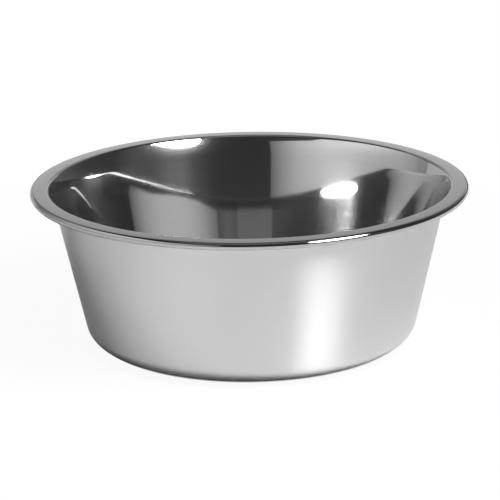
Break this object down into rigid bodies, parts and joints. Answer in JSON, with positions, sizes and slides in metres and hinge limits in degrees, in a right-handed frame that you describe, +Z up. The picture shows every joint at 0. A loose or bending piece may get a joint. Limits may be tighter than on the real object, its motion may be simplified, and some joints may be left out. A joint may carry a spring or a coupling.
{
  "type": "pet bowl",
  "caption": "Round stainless steel pet bowl with a flat base, a flared wall and a flat flange that ends in a curled edge.",
  "frame": {"origin": "centre of the base, on the surface that the bowl stands on", "axes": "+Z up along the bowl's axis, from the base to the mouth; X and Y are any two directions across it, with the pictured side towards -Y"},
  "size_m": [0.248, 0.248, 0.089],
  "materials": {
    "stainless_steel": "mirror-polished inside, satin flange, finely brushed outside"
  },
  "bodies": {
    "root": {"bowl_shell": "stainless_steel"}
  },
  "joints": []
}
